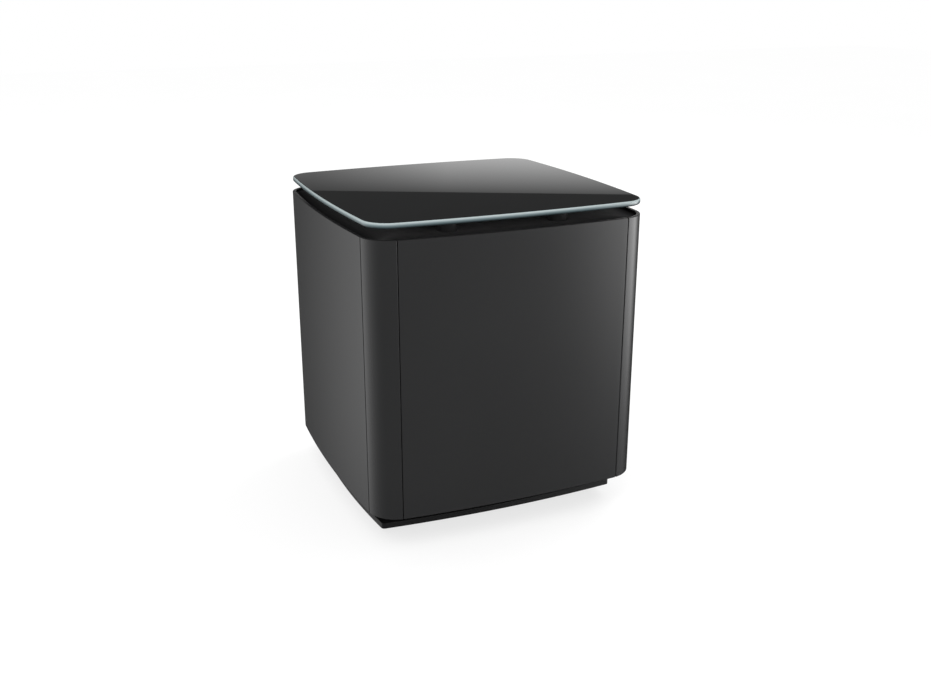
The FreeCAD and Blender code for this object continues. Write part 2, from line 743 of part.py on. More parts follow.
def wire(radius, bend, points):
    """A round wire in straight runs, with a bend of one radius where two runs meet."""
    places = [Vector(*[Size.of(number).value for number in point]) for point in points]
    start = places[0]
    runs = []
    for before, corner, after in zip(places, places[1:], places[2:]):
        incoming = (corner - before).normalize()
        outgoing = (after - corner).normalize()
        half_turn = incoming.getAngle(outgoing) / 2
        reach = bend.value * math.tan(half_turn)
        bulge = bend.value / math.cos(half_turn) - bend.value
        bend_start = corner - incoming * reach
        bend_middle = corner + (outgoing - incoming).normalize() * bulge
        bend_end = corner + outgoing * reach
        runs.append(Part.LineSegment(start, bend_start).toShape())
        runs.append(Part.Arc(bend_start, bend_middle, bend_end).toShape())
        start = bend_end
    runs.append(Part.LineSegment(start, places[-1]).toShape())
    circle = Part.Circle(places[0], places[1] - places[0], radius.value)
    return Part.Wire(runs).makePipeShell([Part.Wire([circle.toShape()])], True, False)


def wires(name, radius, bend, paths):
    bundle = document.addObject("Part::Feature", name)
    bundle.Shape = Part.makeCompound([wire(radius, bend, points) for points in paths])
    node(bundle, name)


def build_leads():
    """Two flexible leads from the basket leg beside the terminal to the back of the cone."""
    level = woofer_level
    paths = [[(side * 6, 90, level + 24), (side * 10, 74, level + 14), (side * 15, 62, level + 24),
              (side * 17, 44, level + 26.6)] for side in (-1, 1)]
    wires("woofer_leads", dim("lead_radius"), dim("lead_bend"), paths)


# ---------------------------------------------------------------- port
def build_port():
    """A straight tube that opens into a flared mouth under the glass, and a bell at its lower end."""
    bore, wall, flare = dim("port_radius"), dim("port_wall"), dim("port_flare")
    steps = 6
    angles = [math.pi / 2 * index / steps for index in range(steps + 1)]
    inner = [(bore + flare * (1 - math.cos(angle)), deck_top - flare * (1 - math.sin(angle)))
             for angle in angles]
    outer_flare = flare - 0.8
    lip_low = deck_top - 2.2
    outer = [(bore + wall + outer_flare * (1 - math.cos(angle)),
              lip_low - outer_flare * (1 - math.sin(angle))) for angle in reversed(angles)]
    mouth = new_body("port_mouth")
    foot = dim("port_joint")
    turn(mouth, [(bore, foot)] + inner + [(bore + wall + outer_flare, deck_top)] + outer
         + [(bore + wall, foot)])
    node(mouth, "port_tube")

    low = dim("port_foot")
    bell_in = [(bore + flare * (1 - math.cos(angle)), low + flare * (1 - math.sin(angle)))
               for angle in reversed(angles)]
    bell_out = [(radius + wall, height) for radius, height in reversed(bell_in)]
    bell = new_body("port_bell")
    turn(bell, bell_in + [(bore, foot - 0.2), (bore + wall, foot - 0.2)] + bell_out)
    collar = new_sketch(bell, level=foot - 6)
    add_circle(collar, bore + wall + 2.4)
    add_circle(collar, bore + wall + 0.2)
    pad(bell, collar, 14)
    shoulder = new_sketch(bell, level=foot - 6)
    add_circle(shoulder, bore + wall + 1)
    add_circle(shoulder, bore + wall - 1)
    pad(bell, shoulder, 5.8)
    node(bell, "port_bell")


# ---------------------------------------------------------------- connector panel
def panel_screw_places():
    """The rear panel's six screws, as x, z pairs in the border of the tray."""
    half = dim("panel_half") - 3.6
    low, high = dim("panel_low") + 3.6, dim("panel_high") - 3.6
    return [(x, z) for z in (low, high) for x in (-half, Size.of(0), half)]


def build_connector_panel():
    """A recessed tray whose border lies flush in the rear panel."""
    half, low, high = dim("panel_half"), dim("panel_low"), dim("panel_high")
    border, wall, floor = dim("tray_border"), dim("tray_wall"), dim("tray_floor")
    floor_back = floor - dim("tray_floor_thick")
    outer = CABINET.inside(0.6)
    flush = prism("flush", outer, low, high, CABINET.inside(shell_inset))
    rim = common("rim", [flush, box("rim", span(0, half), (0, 200), (low, high))])
    solid = prism("solid", CABINET.inside(shell_inset), low + border - wall, high - border + wall)
    block = common("block", [solid, box("tray", span(0, half - border + wall), (floor_back, 200),
                                        (low + border - wall, high - border + wall))])
    cavity = box("cavity", span(0, half - border), (floor, 200), (low + border, high - border))
    level = dim("socket_level")
    through = floor_back - 1
    depth = dim("tray_floor_thick") + 2
    holes = [
        box("inlet_hole", span(dim("inlet_x"), 10.1), (through, floor + 1), span(level, 6.6)),
        rod("jack_hole", 4.1, (dim("jack_x"), through, level), depth, True),
        box("service_hole", span(dim("service_x"), 4.1), (through, floor + 1), span(level, 1.7)),
        rod("button_hole", dim("button_radius") + 0.15, (dim("button_x"), through, level), depth, True),
        rod("light_hole", 1.6, (dim("light_x"), through, level), depth, True),
    ]
    screw_holes = []
    for x, z in panel_screw_places():
        screw_holes.append(rod("panel_hole", 1.7, (x, room_depth(), z), 40, True))
        screw_holes.append(rod("head_room", 3, (x, panel_screw_seat(x), z), 10, True))
    body = joined("connector_panel", [rim, block])
    node(cut("connector_panel", body, [cavity] + holes + screw_holes), "connector_panel")
    build_panel_screws()


def panel_screw_seat(x):
    """How far back a panel screw's head sits, sunk into the border that follows the bow."""
    radius, offset = CABINET.side(CABINET.half_x, CABINET.half_y)
    sunk = radius - 2.4
    return Size(math.sqrt(sunk.value ** 2 - x.value ** 2) - offset.value,
                f"(sqrt({sunk.text} ^ 2 - {x.text} ^ 2) - {offset.text})")


def build_panel_screws():
    """Six small pan-head screws in the border of the tray."""
    screws = []
    for x, z in panel_screw_places():
        bolt = new_body("panel_screw")
        turn(bolt, [(0, -11), (1.25, -11), (1.25, 0), (2.6, 0), (2.4, 1.1), (0, 1.5)])
        bolt.Placement = Placement(Vector(), Rotation(Vector(1, 0, 0), -90))
        move(bolt, x, panel_screw_seat(x) + 0.05, z)
        screws.append(bolt)
    node(group("panel_screws", screws), "panel_screws")


def build_sockets():
    level, floor = dim("socket_level"), dim("tray_floor")
    board = dim("io_board_y")
    back = floor - dim("tray_floor_thick")

    inlet_x = dim("inlet_x")
    shell = joined("inlet", [
        box("inlet_body", span(inlet_x, 10), (board + 0.1, floor + 1), span(level, 6.5)),
        box("inlet_flange", span(inlet_x, 13), (floor, floor + 1.4), span(level, 9)),
    ])
    waist = box("inlet_waist", span(inlet_x, 4.2), (back - 4, floor + 6), span(level, 3.4))
    room = [waist]
    pins = []
    for pin_x in (inlet_x - 4.3, inlet_x + 4.3):
        room.append(rod("inlet_lobe", 4.4, (pin_x, back - 4, level), 20, True))
        room.append(rod("pin_hole", 1.25, (pin_x, board - 1, level), 12, True))
        pins.append(rod("pin", 1.2, (pin_x, board + 0.3, level), floor - board - 1.3, True))
    node(cut("inlet", shell, room), "mains_inlet")
    node(group("inlet_pins", pins), "inlet_pins")

    jack_x = dim("jack_x")
    barrel = joined("jack", [
        box("jack_body", span(jack_x, 5), (board + 0.1, back - 0.1), span(level, 5)),
        rod("jack_nose", 4, (jack_x, back - 0.2, level), dim("tray_floor_thick") + 0.7, True),
    ])
    bore = rod("jack_bore", 1.8, (jack_x, board + 1, level), 20, True)
    node(cut("jack", barrel, [bore]), "data_jack")

    service_x = dim("service_x")
    can = box("service", span(service_x, 3.9), (board + 0.1, floor + 0.2), span(level, 1.5))
    slot = box("service_slot", span(service_x, 3.5), (board + 2, floor + 1), span(level, 1.1))
    tongue = box("service_tongue", span(service_x, 2.6), (board + 2, floor - 0.6),
                 (level + 0.3, level + 0.8))
    node(joined("service_socket", [cut("service", can, [slot]), tongue]), "service_socket")


def build_button():
    """The connect button, its switch, and the light pipe beside it."""
    level, floor = dim("socket_level"), dim("tray_floor")
    back = floor - dim("tray_floor_thick")
    board = dim("io_board_y")
    button_x = dim("button_x")
    cap = new_body("connect_button")
    radius = dim("button_radius")
    front = dim("tray_floor_thick") + 1.2
    tip = board + 2.5 + dim("button_travel") - back
    turn(cap, [(0, tip), (1.1, tip), (1.1, -0.9), (radius + 0.9, -0.9), (radius + 0.9, -0.1), (radius, -0.1),
               (radius, front - 0.5), (radius - 0.5, front), (0, front - 0.35)])
    cap.Placement = Placement(Vector(), Rotation(Vector(1, 0, 0), -90))
    move(cap, button_x, back, level)
    node(cap, "connect_button")

    housing = cut("switch", box("switch", span(button_x, 3), (board + 0.1, board + 4), span(level, 3)),
                  [rod("switch_bore", 1.3, (button_x, board + 2, level), 4, True)])
    node(housing, "connect_switch")
    light = joined("light", [
        rod("light_pipe", 1.5, (dim("light_x"), board + 3, level), floor + 0.3 - board - 3, True),
        rod("light_collar", 2.4, (dim("light_x"), board + 3, level), 4, True)])
    node(light, "status_light_pipe")

    circuit = cut("io_board", box("io_board", (dim("inlet_x") - 12, dim("light_x") + 8),
                                  (board - dim("board_thick"), board), span(level, 15)),
                  [rod("io_hole", 1.6, (dim("inlet_x") - 9, board - 5, level + side * 12), 10, True)
                   for side in (-1, 1)])
    node(circuit, "io_board")


# ---------------------------------------------------------------- electronics
def build_amplifier():
    """A tray on the upper rear wall that carries the amplifier and power supply boards."""
    low, high, half = dim("tray_low"), dim("tray_high"), dim("tray_half")
    face, plate = dim("tray_face"), dim("tray_plate")
    inside = prism("tray_limit", CABINET.inside(room_inset + 0.1), low, high)
    block = common("chassis", [inside, box("chassis", span(0, half), (face, 200), (low, high))])
    hollow = box("chassis_room", span(0, half - plate), (face + plate, 200), (low + plate, high - plate))
    node(cut("amp_chassis", block, [hollow]), "amp_chassis")

    board_back = face - dim("board_gap")
    board_front = board_back - dim("board_thick")
    levels = (dim("board_low"), dim("board_high"))
    middles = {"amp_board": -dim("board_width") / 2 - 3, "power_board": dim("board_width") / 2 + 3}
    spacers = []
    for name, middle in middles.items():
        corners = [(middle + side * (dim("board_width") / 2 - 5), z)
                   for side in (-1, 1) for z in (levels[0] + 5, levels[1] - 5)]
        plate_box = box(name, span(middle, dim("board_width") / 2), (board_front, board_back), levels)
        holes = [rod("board_hole", 1.6, (x, board_front - 1, z), 4, True) for x, z in corners]
        node(cut(name, plate_box, holes), name)
        spacers += [rod("spacer", 2.6, (x, board_back, z), dim("board_gap"), True) for x, z in corners]
    node(group("board_spacers", spacers), "board_spacers")

    build_power_parts(middles["power_board"], board_front)
    build_heatsink(middles["amp_board"], board_front)
    build_radio()


def build_power_parts(middle, board_front):
    level = dim("board_low") + 26
    windings = box("bobbin", span(middle - 14, 11), (board_front - 24, board_front - 0.1), span(level, 13))
    window = box("core_window", span(middle - 14, 11.1), (0, 200), span(level, 13.1))
    block = box("core", span(middle - 14, 17), (board_front - 21, board_front - 4), span(level, 16))
    core = cut("core", block, [window])
    node(group("transformer", [windings, core]), "transformer")
    cans = [rod("can", 11, (middle + 22, board_front - 30, level - 8 + 26 * step), 29.9, True)
            for step in range(3)]
    node(group("capacitors", cans), "capacitors")


def build_heatsink(middle, board_front):
    """A finned sink that lies over the output stage of the amplifier board."""
    sink = new_body("heatsink")
    height, margin = dim("sink_height"), 0.5
    reach = dim("fin_pitch") * (dim("fin_count") - 1)
    width = reach + dim("fin_thick") + 2 * margin
    base = new_sketch(sink, "XZ_Plane")
    add_rectangle(base, 0, 0, width, height)
    pad(sink, base, dim("sink_base"))
    fin = new_sketch(sink, "XZ_Plane", level=dim("sink_base"))
    add_rectangle(fin, margin, 0, dim("fin_thick") + margin, height)
    first = pad(sink, fin, dim("fin_depth"))
    row = sink.newObject("PartDesign::LinearPattern", "Fins")
    row.Originals = [first]
    row.Direction = (base, ["H_Axis"])
    row.setExpression("Length", reach.text)
    row.setExpression("Occurrences", "dims.fin_count")
    sink.Tip = row
    move(sink, middle - width / 2, board_front - 0.1, dim("board_low") + 16)
    node(sink, "heatsink")


def build_radio():
    """The wireless board, hung under the lid at the right, with its shield and antenna."""
    level = lid_bottom - 6
    board = box("radio", (58, 104), (10, 44), (level, level + 1.6))
    feet = [rod("radio_foot", 2.2, (x, y, level + 1.6), 4.3) for x in (61, 101) for y in (13, 41)]
    shield = box("shield", (66, 90), (16, 38), (level - 3, level + 0.1))
    antenna = box("antenna", (95, 101), (16, 38), (level - 1.2, level + 0.1))
    node(joined("wireless_board", [board, shield, antenna] + feet), "wireless_board")


def build_cables():
    """The woofer feed, and the mains and data leads from the connector panel."""
    boards_y = dim("tray_face") - dim("board_gap") - dim("board_thick") - 3
    slot_y = (dim("cable_slot_near") + dim("cable_slot_far")) / 2
    low, high = dim("socket_level"), dim("board_low")
    through = dim("brace_level") + dim("brace_thick") / 2
    feed = [[(side * 6, 101, woofer_level + 37.4), (side * 6 - 6, 101, woofer_level + 50),
             (side * 5 - 20, slot_y - 4, low + 55), (side * 5 - 24, slot_y, through),
             (side * 4 - 40, boards_y - 2, high + 4), (side * 4 - 44, boards_y - 3, high + 10)]
            for side in (-1, 1)]
    wires("speaker_cable", dim("cable_radius"), dim("cable_bend"), feed)
    inlet_x, behind = dim("inlet_x"), dim("io_board_y") - dim("board_thick") - 1.6
    mains = [[(inlet_x + side * 4.3, behind, low), (side * 4 - 4, slot_y - 18, low + 42),
              (side * 4 + 10, slot_y - 4, through), (side * 4 + 20, boards_y - 2, high + 5)]
             for side in (-1, 1)]
    data = [(20, behind, low + 8), (26, slot_y - 6, low + 50), (31, slot_y, through), (46, 84, 200),
            (70, 56, 250), (80, 34, lid_bottom - 11)]
    wires("internal_cables", dim("cable_radius"), dim("cable_bend"), mains + [data])


# ---------------------------------------------------------------- build, check and write
build_glass()
build_deck()
build_skins()
build_enclosure()
build_base()
build_basket()
build_motor()
build_moving_parts()
build_suspension()
build_woofer_fittings()
build_leads()
build_port()
build_connector_panel()
build_sockets()
build_button()
build_amplifier()
build_cables()
document.recompute()

failed = [item for item in document.Objects if "Invalid" in item.State or "Error" in item.State]
for item in failed:
    print(item.Name, item.Label, item.State, item.getStatusString())
if failed:
    raise ValueError(f"{len(failed)} objects failed")
for item in nodes:
    if item.Shape.isNull() or not item.Shape.isValid() or not item.Shape.Solids:
        raise ValueError(f"{item.Label} has no valid solid")

os.makedirs("parts", exist_ok=True)
for item in nodes:
    item.Shape.exportStep(os.path.join("parts", f"{item.Label}.step"))
print(len(nodes), "pieces written")
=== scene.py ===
import json
import math

import bmesh
import bpy
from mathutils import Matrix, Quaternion, Vector


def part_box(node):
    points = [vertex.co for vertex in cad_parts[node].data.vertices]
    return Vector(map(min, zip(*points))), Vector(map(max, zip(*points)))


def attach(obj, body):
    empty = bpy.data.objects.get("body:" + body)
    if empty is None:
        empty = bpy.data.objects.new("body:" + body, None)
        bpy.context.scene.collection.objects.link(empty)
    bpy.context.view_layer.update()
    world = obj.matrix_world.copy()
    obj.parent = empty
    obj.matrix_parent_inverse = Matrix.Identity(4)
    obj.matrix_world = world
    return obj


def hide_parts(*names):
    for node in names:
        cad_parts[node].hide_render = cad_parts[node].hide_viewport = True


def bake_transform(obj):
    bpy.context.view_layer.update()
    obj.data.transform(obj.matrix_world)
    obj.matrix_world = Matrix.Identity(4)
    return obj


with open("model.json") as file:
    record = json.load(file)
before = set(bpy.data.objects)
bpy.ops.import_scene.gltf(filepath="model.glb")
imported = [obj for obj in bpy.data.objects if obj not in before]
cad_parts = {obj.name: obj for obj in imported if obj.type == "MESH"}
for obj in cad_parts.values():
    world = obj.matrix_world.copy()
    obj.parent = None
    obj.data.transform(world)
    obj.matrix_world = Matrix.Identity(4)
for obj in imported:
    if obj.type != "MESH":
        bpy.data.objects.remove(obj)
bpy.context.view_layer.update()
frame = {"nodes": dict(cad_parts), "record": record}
MM = 0.001

# The outside; the same values shape the CAD's panels, trims and glass.
CABINET_BOW = 8 * MM
CABINET_CORNER = 31.3 * MM
SKIN_THICK = 3.6 * MM
SKIN_EDGE = 0.5 * MM
WINDOW_GAP = 0.4 * MM
GLASS_BOW = 7 * MM
GLASS_CORNER = 25.5 * MM
GLASS_EDGE = 1.6 * MM
BASE_EDGE = 0.9 * MM
PANELS = ("right_panel", "rear_panel", "left_panel", "front_panel")
TRIMS = ("corner_rear_right", "corner_rear_left", "corner_front_left", "corner_front_right")

# How finely curves are cut.
PANEL_CELLS = 40
TRIM_CELLS = 20
GLASS_SIDE_STEPS = 28
GLASS_CORNER_STEPS = 12
GLASS_EDGE_STEPS = 6
SKIN_EDGE_STEPS = 3
SLICE_STEPS = 5
TUBE_ROUND_STEPS = 3
TUBE_RUN_STEPS = 10

# Turns in degrees: edges that turn by more stay sharp in shading, or are rounded.
PIECE_SHARP = 50
CAD_SHARP = 32
TUBE_SHARP = 60
SKIN_SHARP = 40
BASE_SHARP = 50

# The deck under the glass gets painted light that evens out its shade: grey up to one distance from
# the middle and black from the other.
# The distance is measured along an axis, plus the bow (per metre) times the other axis squared,
# so that it follows the bowed sides.
DECK_PAINTED_LIGHT_TO = 105 * MM
DECK_PAINTED_LIGHT_GONE_FROM = 145 * MM
DECK_BOW = 0.4

# The woofer's surround: a half roll between a land on the frame and one on the cone.
SURROUND_THICK = 0.8 * MM
SURROUND_ROLL = 9 * MM
SURROUND_LAND = 8 * MM
SURROUND_ON_CONE = 4.5 * MM
SURROUND_STEPS = 18
SURROUND_SLICES = 24

# The woofer's spider: a corrugated disc with a flat rim and a flat collar, below its node's top.
SPIDER_THICK = 0.6 * MM
SPIDER_DROP = 1.2 * MM
SPIDER_WAVES = 7
SPIDER_WAVE_HEIGHT = 1.0 * MM
SPIDER_WAVE_STEPS = 12
SPIDER_RIM = 5 * MM
SPIDER_COLLAR = 2 * MM
SPIDER_SLICES = 16

# The woofer's leads: points from terminal to cone in mm, with heights that count from LEAD_RISE
# above the surround's top.
LEAD_POINTS = ((6, 90, 24), (10, 74, 14), (15, 62, 24), (17, 44, 26.6))
LEAD_RISE = 4 * MM
LEAD_RADIUS = 0.8 * MM


# ---------------------------------------------------------------- node helpers
class Shader:
    """A small helper for writing node trees in code."""

    # Inputs and output of the Mix node, for each kind of data.
    MIX_SOCKETS = {"FLOAT": (2, 3, 0), "RGBA": (6, 7, 2)}

    def __init__(self, tree):
        self.tree = tree
        tree.nodes.clear()

    def add(self, kind, values=None, **settings):
        """Add a node with its inputs and its settings; an input is a value or a socket."""
        node = self.tree.nodes.new(kind)
        for name, value in settings.items():
            setattr(node, name, value)
        for name, value in (values or {}).items():
            self.put(node.inputs[name], value)
        return node

    def put(self, socket, value):
        """Set an input, or link another node's output to it."""
        if isinstance(value, bpy.types.NodeSocket):
            self.tree.links.new(value, socket)
        else:
            socket.default_value = value

    def math(self, operation, first, second=0.0, clamp=False):
        """Arithmetic on one or two values."""
        node = self.add("ShaderNodeMath", operation=operation, use_clamp=clamp)
        self.put(node.inputs[0], first)
        self.put(node.inputs[1], second)
        return node.outputs[0]

    def ramp(self, factor, stops, smooth=False):
        """A colour ramp; each stop is a place and a grey value or a colour."""
        node = self.add("ShaderNodeValToRGB", {"Fac": factor})
        ramp = node.color_ramp
        ramp.interpolation = "EASE" if smooth else "LINEAR"
        while len(ramp.elements) < len(stops):
            ramp.elements.new(0.5)
        for element, (place, value) in zip(ramp.elements, stops):
            element.position = place
            shade = value if isinstance(value, tuple) else (value, value, value)
            element.color = (*shade, 1.0)
        return node.outputs["Color"]

    def place(self):
        """The point's coordinates in object space."""
        return self.add("ShaderNodeTexCoord").outputs["Object"]

    def parts(self, vector):
        """The X, Y and Z of a vector."""
        return self.add("ShaderNodeSeparateXYZ", {"Vector": vector}).outputs

    def noise(self, scale, detail=2.0, roughness=0.5, stretch=(1, 1, 1)):
        """Noise in object space; stretch squeezes it along an axis."""
        mapping = self.add("ShaderNodeMapping", {"Vector": self.place(), "Scale": stretch})
        node = self.add("ShaderNodeTexNoise", {
            "Vector": mapping.outputs[0], "Scale": scale, "Detail": detail, "Roughness": roughness})
        return node.outputs["Fac"]

    def span(self, value, low, high, start=0.0, end=1.0):
        """Map start..end to low..high, clamped."""
        node = self.add("ShaderNodeMapRange", {
            "Value": value, "From Min": start, "From Max": end, "To Min": low, "To Max": high})
        return node.outputs[0]

    def blend(self, factor, first, second, kind="RGBA", **settings):
        """Go from the first to the second; each is a colour, a number or a socket."""
        node = self.add("ShaderNodeMix", data_type=kind, **settings)
        first_at, second_at, result_at = self.MIX_SOCKETS[kind]
        self.put(node.inputs["Factor"], factor)
        for socket_at, value in ((first_at, first), (second_at, second)):
            self.put(node.inputs[socket_at], (*value, 1.0) if isinstance(value, tuple) else value)
        return node.outputs[result_at]

    def wave(self, direction, scale, distortion=0.0):
        """Parallel bands across one axis."""
        node = self.add("ShaderNodeTexWave", {
            "Vector": self.place(), "Scale": scale, "Distortion": distortion},
            bands_direction=direction)
        return node.outputs["Fac"]

    def average(self, first, second, share=0.5):
        """A weighted sum; the share is the first one's weight."""
        return self.math("ADD", self.math("MULTIPLY", first, share),
                         self.math("MULTIPLY", second, 1.0 - share))

    def bump(self, height, distance, strength=1.0, normal=None):
        """A normal from a height field; it can be laid over another normal."""
        values = {"Height": height, "Distance": distance, "Strength": strength}
        if normal is not None:
            values["Normal"] = normal
        return self.add("ShaderNodeBump", values).outputs[0]


def new_material(name):
    """An empty material and the helper that fills it."""
    material = bpy.data.materials.new(name)
    material.use_nodes = True
    return material, Shader(material.node_tree)


def close_surface(shader, values):
    """End a material in a principled surface."""
    surface = shader.add("ShaderNodeBsdfPrincipled", values)
    shader.add("ShaderNodeOutputMaterial", {"Surface": surface.outputs[0]})


def finish(name, colour, rough, metal=0.0, vary=0.2, grain=1500, depth=0.02, specular=0.5,
           coat=0.0, stretch=(1, 1, 1), sheen=0.0):
    """A moulded, painted or machined surface: uneven colour, uneven gloss and a fine grain.

    The grain's depth is in mm; the larger the grain's value, the finer it is.
    """
    material, shader = new_material(name)
    cloud = shader.noise(14, 4)
    fine = shader.noise(grain, 3, 0.6, stretch)
    dark = tuple(channel * (1 - vary) for channel in colour)
    light = tuple(min(1.0, channel * (1 + vary)) for channel in colour)
    close_surface(shader, {
        "Base Color": shader.blend(shader.average(cloud, fine, 0.6), dark, light),
        "Metallic": metal,
        "Roughness": shader.span(shader.average(cloud, fine), rough * 0.8, rough * 1.2),
        "Specular IOR Level": specular,
        "Coat Weight": coat,
        "Coat Roughness": 0.08,
        "Sheen Weight": sheen,
        "Normal": shader.bump(fine, depth * MM),
    })
    return material


# ---------------------------------------------------------------- materials of the outside
def make_panel_material():
    """Satin charcoal paint over a moulded skin, with the faint orange peel of a sprayed coat."""
    material, shader = new_material("satin_charcoal")
    cloud = shader.noise(9, 3)
    peel = shader.noise(420, 2, 0.5)
    speck = shader.noise(2600, 2, 0.7)
    shade = shader.average(cloud, speck)
    soft = shader.bump(speck, 0.004 * MM, 0.6)
    close_surface(shader, {
        "Base Color": shader.blend(shade, (0.0150, 0.0152, 0.0157), (0.0205, 0.0207, 0.0212)),
        "Roughness": shader.span(shade, 0.23, 0.28),
        "Specular IOR Level": 0.5,
        "Normal": shader.bump(peel, 0.012 * MM, 0.5, soft),
    })
    return material


def make_glass_material(low, high):
    """Glass that is printed black behind: a deep gloss face and a blue-green polished rim with a
    painted highlight along its top and painted shade below.
    """
    material, shader = new_material("black_backed_glass_painted_rim_light")
    level = shader.span(shader.parts(shader.place())["Z"], 0.0, 1.0, low, high)
    facing = shader.parts(shader.add("ShaderNodeNewGeometry").outputs["Normal"])["Z"]
    sideways = shader.math("SUBTRACT", 1.0, shader.math("ABSOLUTE", facing), True)
    on_rim = shader.ramp(sideways, [(0.02, 0.0), (0.12, 1.0)])
    # Painted highlight and shade: the rim's own blue-green tint, painted pale near its top and dark
    # towards its bottom.
    edge = shader.ramp(level, [
        (0.0, (0.006, 0.011, 0.012)), (0.22, (0.030, 0.044, 0.048)),
        (0.48, (0.105, 0.145, 0.155)), (0.70, (0.27, 0.325, 0.335)),
        (0.86, (0.40, 0.455, 0.46)), (1.0, (0.33, 0.385, 0.39))], True)
    face = shader.blend(shader.noise(30, 2), (0.0048, 0.0050, 0.0052), (0.0060, 0.0062, 0.0064))
    close_surface(shader, {
        "Base Color": shader.blend(on_rim, face, edge),
        "Roughness": shader.span(shader.noise(6, 5, 0.6), 0.004, 0.016),
        "Specular IOR Level": 0.5,
        "IOR": 1.5,
        "Normal": shader.bump(shader.noise(3, 1), 0.02 * MM, 0.2),
    })
    return material


def make_deck_material():
    """Matte dark plastic, black at its border, with painted light that makes it greyer further in
    under the glass, where the shade is deepest.
    """
    material, shader = new_material("deck_painted_light")
    place = shader.parts(shader.place())
    across, along = (shader.math("ABSOLUTE", place[axis]) for axis in "XY")
    distances = []
    for out, side in ((across, along), (along, across)):
        bow = shader.math("MULTIPLY", shader.math("MULTIPLY", side, side), DECK_BOW)
        distances.append(shader.math("ADD", out, bow))
    reach = shader.span(shader.math("MAXIMUM", *distances), 0.0, 1.0, DECK_PAINTED_LIGHT_TO, DECK_PAINTED_LIGHT_GONE_FROM)
    grain = shader.noise(900, 3, 0.6)
    # Painted light: paler further in, where the glass shades the deck most.
    painted_light_tone = shader.ramp(reach, [
        (0.0, (0.34, 0.34, 0.345)), (0.3, (0.27, 0.27, 0.275)), (0.6, (0.13, 0.13, 0.132)),
        (0.8, (0.038, 0.038, 0.039)), (0.93, (0.012, 0.012, 0.0125)),
        (1.0, (0.008, 0.008, 0.0084))])
    mottle = shader.blend(grain, (0.85, 0.85, 0.85), (1.0, 1.0, 1.0))
    close_surface(shader, {
        "Base Color": shader.blend(1.0, painted_light_tone, mottle, blend_type="MULTIPLY"),
        "Roughness": shader.span(grain, 0.48, 0.60),
        "Specular IOR Level": 0.0,
        "Normal": shader.bump(grain, 0.02 * MM),
    })
    return material


# ---------------------------------------------------------------- mesh helpers
def link(name, data):
    """Put new data in the scene as an object."""
    holder = bpy.data.objects.new(name, data)
    bpy.context.scene.collection.objects.link(holder)
    return holder


def to_object(name, mesh_data, material, body="cabinet", replaced=(), slot=None):
    """Turn a bmesh into a piece that rides on a body and stands for its CAD node."""
    bmesh.ops.recalc_face_normals(mesh_data, faces=mesh_data.faces)
    mesh = bpy.data.meshes.new(name)
    mesh_data.to_mesh(mesh)
    mesh_data.free()
    mesh.materials.append(material)
    piece = link(name, mesh)
    smooth(piece, PIECE_SHARP)
    if body:
        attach(piece, body)
    if replaced:
        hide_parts(*replaced)
    return piece


def smooth(piece, angle):
    """Shade smooth, but keep edges sharp that turn by more than the angle in degrees."""
    piece.data.polygons.foreach_set("use_smooth", [True] * len(piece.data.polygons))
    piece.data.set_sharp_from_angle(angle=math.radians(angle))


def weigh_normals(piece):
    """Keep broad faces flat in shading where they meet a narrow bevel."""
    modifier = piece.modifiers.new("weighted", "WEIGHTED_NORMAL")
    modifier.keep_sharp = True


def soften(mesh_data):
    """Round every sharp edge of a skin."""
    sharp = [edge for edge in mesh_data.edges
             if len(edge.link_faces) == 2 and edge.calc_face_angle() > math.radians(SKIN_SHARP)]
    bmesh.ops.bevel(mesh_data, geom=sharp, offset=SKIN_EDGE, segments=SKIN_EDGE_STEPS,
                    profile=0.5, affect="EDGES", clamp_overlap=True)


